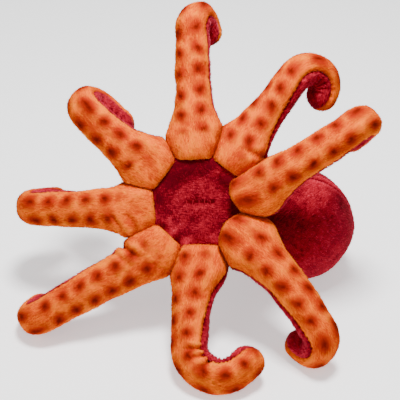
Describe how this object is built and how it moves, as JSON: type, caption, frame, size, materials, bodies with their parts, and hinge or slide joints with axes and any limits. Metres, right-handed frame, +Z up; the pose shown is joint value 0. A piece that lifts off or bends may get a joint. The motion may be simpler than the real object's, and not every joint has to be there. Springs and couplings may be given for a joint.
{
  "type": "plush octopus soft toy",
  "caption": "Stuffed plush octopus lying on its round head, mouth side up, with spotted arms whose ends curl back; arms bend and head nods.",
  "frame": {"origin": "middle of the footprint box, on the surface the toy lies on", "axes": "+Z up as the toy lies, +X along its widest span, +Y away from the side that the mouth faces"},
  "size_m": [0.3178, 0.2538, 0.2481],
  "materials": {
    "red_plush": "short pile, crimson, brushed",
    "spotted_orange_plush": "short pile, orange with two rows of rust-brown spots",
    "stuffing": "loose polyester fibre",
    "eye_plastic": "polished black",
    "washer_plastic": "white, plain"
  },
  "bodies": {
    "body": {"mouth_patch": "red_plush", "neck_collar": "red_plush", "body_stuffing": "stuffing", "arm_base_under_panels": "spotted_orange_plush", "arm_base_top_panels": "red_plush", "arm_base_stuffing": "stuffing"},
    "arm_1_middle": {"arm_1_middle_under_panel": "spotted_orange_plush", "arm_1_middle_top_panel": "red_plush", "arm_1_middle_stuffing": "stuffing"},
    "arm_1_end": {"arm_1_end_under_panel": "spotted_orange_plush", "arm_1_end_top_panel": "red_plush", "arm_1_end_stuffing": "stuffing"},
    "arm_2_middle": {"arm_2_middle_under_panel": "spotted_orange_plush", "arm_2_middle_top_panel": "red_plush", "arm_2_middle_stuffing": "stuffing"},
    "arm_2_end": {"arm_2_end_under_panel": "spotted_orange_plush", "arm_2_end_top_panel": "red_plush", "arm_2_end_stuffing": "stuffing"},
    "arm_3_middle": {"arm_3_middle_under_panel": "spotted_orange_plush", "arm_3_middle_top_panel": "red_plush", "arm_3_middle_stuffing": "stuffing"},
    "arm_3_end": {"arm_3_end_under_panel": "spotted_orange_plush", "arm_3_end_top_panel": "red_plush", "arm_3_end_stuffing": "stuffing"},
    "arm_4_middle": {"arm_4_middle_under_panel": "spotted_orange_plush", "arm_4_middle_top_panel": "red_plush", "arm_4_middle_stuffing": "stuffing"},
    "arm_4_end": {"arm_4_end_under_panel": "spotted_orange_plush", "arm_4_end_top_panel": "red_plush", "arm_4_end_stuffing": "stuffing"},
    "arm_5_middle": {"arm_5_middle_under_panel": "spotted_orange_plush", "arm_5_middle_top_panel": "red_plush", "arm_5_middle_stuffing": "stuffing"},
    "arm_5_end": {"arm_5_end_under_panel": "spotted_orange_plush", "arm_5_end_top_panel": "red_plush", "arm_5_end_stuffing": "stuffing"},
    "arm_6_middle": {"arm_6_middle_under_panel": "spotted_orange_plush", "arm_6_middle_top_panel": "red_plush", "arm_6_middle_stuffing": "stuffing"},
    "arm_6_end": {"arm_6_end_under_panel": "spotted_orange_plush", "arm_6_end_top_panel": "red_plush", "arm_6_end_stuffing": "stuffing"},
    "arm_7_middle": {"arm_7_middle_under_panel": "spotted_orange_plush", "arm_7_middle_top_panel": "red_plush", "arm_7_middle_stuffing": "stuffing"},
    "arm_7_end": {"arm_7_end_under_panel": "spotted_orange_plush", "arm_7_end_top_panel": "red_plush", "arm_7_end_stuffing": "stuffing"},
    "arm_8_middle": {"arm_8_middle_under_panel": "spotted_orange_plush", "arm_8_middle_top_panel": "red_plush", "arm_8_middle_stuffing": "stuffing"},
    "arm_8_end": {"arm_8_end_under_panel": "spotted_orange_plush", "arm_8_end_top_panel": "red_plush", "arm_8_end_stuffing": "stuffing"},
    "head": {"head_crown_panel": "red_plush", "head_neck_panel": "red_plush", "head_stuffing": "stuffing", "eyes": "eye_plastic", "eye_washers": "washer_plastic"}
  },
  "joints": [
    {"name": "arm_1_root_bend", "type": "hinge", "parent": "body", "child": "arm_1_middle", "pos_m": [0.00308, 0.03842, 0.1629], "axis": [-0.9889, 0.0843, -0.1223], "range_deg": [-22, 22], "stiffness_Nm_per_rad": 0.55},
    {"name": "arm_1_curl", "type": "hinge", "parent": "arm_1_middle", "child": "arm_1_end", "pos_m": [0.00095, 0.08099, 0.21965], "axis": [-0.9295, 0.285, -0.2339], "range_deg": [-45, 3], "stiffness_Nm_per_rad": 0.16},
    {"name": "arm_2_root_bend", "type": "hinge", "parent": "body", "child": "arm_2_middle", "pos_m": [0.04625, 0.03085, 0.15209], "axis": [-0.7505, 0.6045, 0.2671], "range_deg": [-22, 22], "stiffness_Nm_per_rad": 0.55},
    {"name": "arm_2_curl", "type": "hinge", "parent": "arm_2_middle", "child": "arm_2_end", "pos_m": [0.08116, 0.05741, 0.19003], "axis": [-0.4842, 0.8607, -0.1572], "range_deg": [-45, 3], "stiffness_Nm_per_rad": 0.16},
    {"name": "arm_3_root_bend", "type": "hinge", "parent": "body", "child": "arm_3_middle", "pos_m": [0.06496, -0.00793, 0.13654], "axis": [-0.4423, 0.6282, 0.6401], "range_deg": [-22, 6], "stiffness_Nm_per_rad": 0.55},
    {"name": "arm_3_curl", "type": "hinge", "parent": "arm_3_middle", "child": "arm_3_end", "pos_m": [0.12146, 0.00036, 0.17448], "axis": [-0.5505, 0.6124, 0.5674], "range_deg": [-45, 3], "stiffness_Nm_per_rad": 0.16},
    {"name": "arm_4_root_bend", "type": "hinge", "parent": "body", "child": "arm_4_middle", "pos_m": [0.05543, -0.03812, 0.08674], "axis": [0.7324, 0.4808, 0.482], "range_deg": [-22, 6], "stiffness_Nm_per_rad": 0.55},
    {"name": "arm_4_curl", "type": "hinge", "parent": "arm_4_middle", "child": "arm_4_end", "pos_m": [0.09909, -0.07991, 0.05015], "axis": [0.7462, 0.6622, 0.0682], "range_deg": [-45, 3], "stiffness_Nm_per_rad": 0.16},
    {"name": "arm_5_root_bend", "type": "hinge", "parent": "body", "child": "arm_5_middle", "pos_m": [0.00383, -0.04319, 0.0606], "axis": [0.9248, -0.3448, 0.1605], "range_deg": [-22, 22], "stiffness_Nm_per_rad": 0.55},
    {"name": "arm_5_curl", "type": "hinge", "parent": "arm_5_middle", "child": "arm_5_end", "pos_m": [-0.00126, -0.08008, 0.03369], "axis": [0.7337, -0.4012, 0.5485], "range_deg": [-45, 3], "stiffness_Nm_per_rad": 0.16},
    {"name": "arm_6_root_bend", "type": "hinge", "parent": "body", "child": "arm_6_middle", "pos_m": [-0.04011, -0.02567, 0.07046], "axis": [0.6157, -0.4497, -0.6471], "range_deg": [-22, 22], "stiffness_Nm_per_rad": 0.55},
    {"name": "arm_6_curl", "type": "hinge", "parent": "arm_6_middle", "child": "arm_6_end", "pos_m": [-0.11536, -0.04758, 0.03286], "axis": [0.4831, -0.356, -0.7999], "range_deg": [-45, 3], "stiffness_Nm_per_rad": 0.16},
    {"name": "arm_7_root_bend", "type": "hinge", "parent": "body", "child": "arm_7_middle", "pos_m": [-0.05869, 0.00207, 0.1014], "axis": [-0.0143, -0.6267, -0.7791], "range_deg": [-22, 22], "stiffness_Nm_per_rad": 0.55},
    {"name": "arm_7_curl", "type": "hinge", "parent": "arm_7_middle", "child": "arm_7_end", "pos_m": [-0.12384, 0.0179, 0.09023], "axis": [0.0482, -0.4495, -0.892], "range_deg": [-45, 3], "stiffness_Nm_per_rad": 0.16},
    {"name": "arm_8_root_bend", "type": "hinge", "parent": "body", "child": "arm_8_middle", "pos_m": [-0.04617, 0.02339, 0.14144], "axis": [-0.5985, -0.3699, -0.7106], "range_deg": [-22, 22], "stiffness_Nm_per_rad": 0.55},
    {"name": "arm_8_curl", "type": "hinge", "parent": "arm_8_middle", "child": "arm_8_end", "pos_m": [-0.07759, 0.03931, 0.1624], "axis": [-0.6425, -0.171, -0.7469], "range_deg": [-45, 3], "stiffness_Nm_per_rad": 0.16},
    {"name": "head_nod", "type": "hinge", "parent": "body", "child": "head", "pos_m": [0.04006, 0.01043, 0.0931], "axis": [-0.2133, -0.5604, -0.8003], "range_deg": [-18, 5], "stiffness_Nm_per_rad": 1.6}
  ]
}
